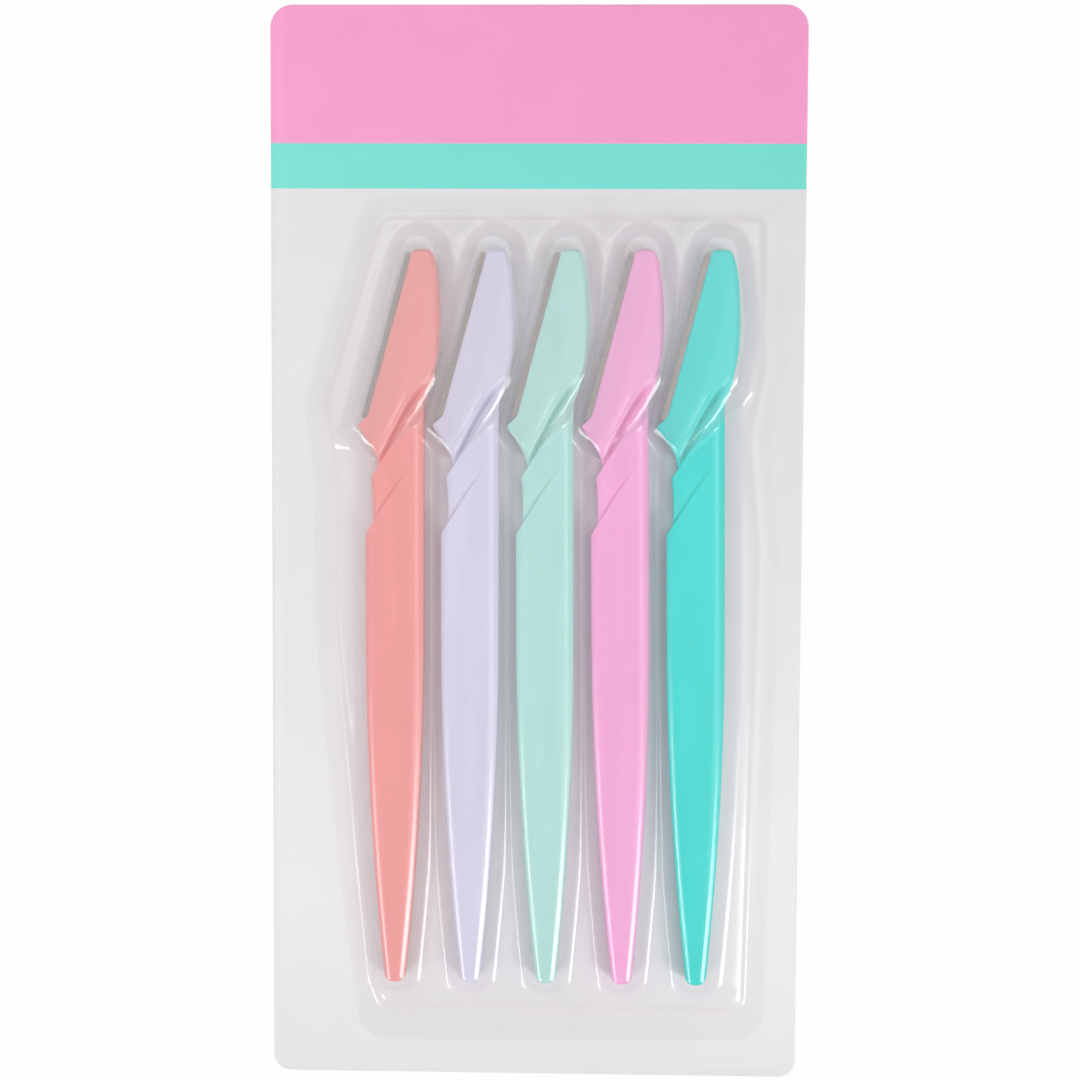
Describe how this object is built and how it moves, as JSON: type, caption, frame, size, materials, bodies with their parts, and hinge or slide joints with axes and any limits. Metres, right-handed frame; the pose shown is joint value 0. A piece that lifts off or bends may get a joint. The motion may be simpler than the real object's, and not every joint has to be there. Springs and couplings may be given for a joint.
{
  "type": "eyebrow razor set",
  "caption": "Flat card with a clear blister over a row of long-handled eyebrow razors, each with a guarded steel blade.",
  "frame": {"origin": "centre of the card's back face, which the pack lies on", "axes": "+Y along the card towards its header, +X across the card to the right as seen from the printed side, +Z out of the printed side"},
  "size_m": [0.108, 0.2186, 0.0078],
  "materials": {
    "card": "coated white board with a printed header",
    "clear_sheet": "thin clear thermoformed plastic sheet",
    "coral_plastic": "moulded coral plastic",
    "lavender_plastic": "moulded lavender plastic",
    "mint_plastic": "moulded mint plastic",
    "pink_plastic": "moulded pink plastic",
    "teal_plastic": "moulded teal plastic",
    "steel": "thin stainless strip"
  },
  "bodies": {
    "card": {"backing_card": "card"},
    "blister": {"blister_shell": "clear_sheet"},
    "coral_razor": {"coral_handle": "coral_plastic", "coral_blade": "steel", "coral_guard": "steel", "coral_blade_cover": "coral_plastic"},
    "lavender_razor": {"lavender_handle": "lavender_plastic", "lavender_blade": "steel", "lavender_guard": "steel", "lavender_blade_cover": "lavender_plastic"},
    "mint_razor": {"mint_handle": "mint_plastic", "mint_blade": "steel", "mint_guard": "steel", "mint_blade_cover": "mint_plastic"},
    "pink_razor": {"pink_handle": "pink_plastic", "pink_blade": "steel", "pink_guard": "steel", "pink_blade_cover": "pink_plastic"},
    "teal_razor": {"teal_handle": "teal_plastic", "teal_blade": "steel", "teal_guard": "steel", "teal_blade_cover": "teal_plastic"}
  },
  "joints": [
    {"name": "blister_lift", "type": "slide", "parent": "card", "child": "blister", "axis": [0, 0, 1], "range_m": [0, 0.06]},
    {"name": "coral_razor_lift", "type": "slide", "parent": "card", "child": "coral_razor", "axis": [0, 0, 1], "range_m": [0, 0.03]},
    {"name": "lavender_razor_lift", "type": "slide", "parent": "card", "child": "lavender_razor", "axis": [0, 0, 1], "range_m": [0, 0.03]},
    {"name": "mint_razor_lift", "type": "slide", "parent": "card", "child": "mint_razor", "axis": [0, 0, 1], "range_m": [0, 0.03]},
    {"name": "pink_razor_lift", "type": "slide", "parent": "card", "child": "pink_razor", "axis": [0, 0, 1], "range_m": [0, 0.03]},
    {"name": "teal_razor_lift", "type": "slide", "parent": "card", "child": "teal_razor", "axis": [0, 0, 1], "range_m": [0, 0.03]}
  ],
  "couplings": [
    {"joint": "coral_razor_lift", "follows": "blister_lift", "ratio": 0.5},
    {"joint": "lavender_razor_lift", "follows": "blister_lift", "ratio": 0.5},
    {"joint": "mint_razor_lift", "follows": "blister_lift", "ratio": 0.5},
    {"joint": "pink_razor_lift", "follows": "blister_lift", "ratio": 0.5},
    {"joint": "teal_razor_lift", "follows": "blister_lift", "ratio": 0.5}
  ]
}
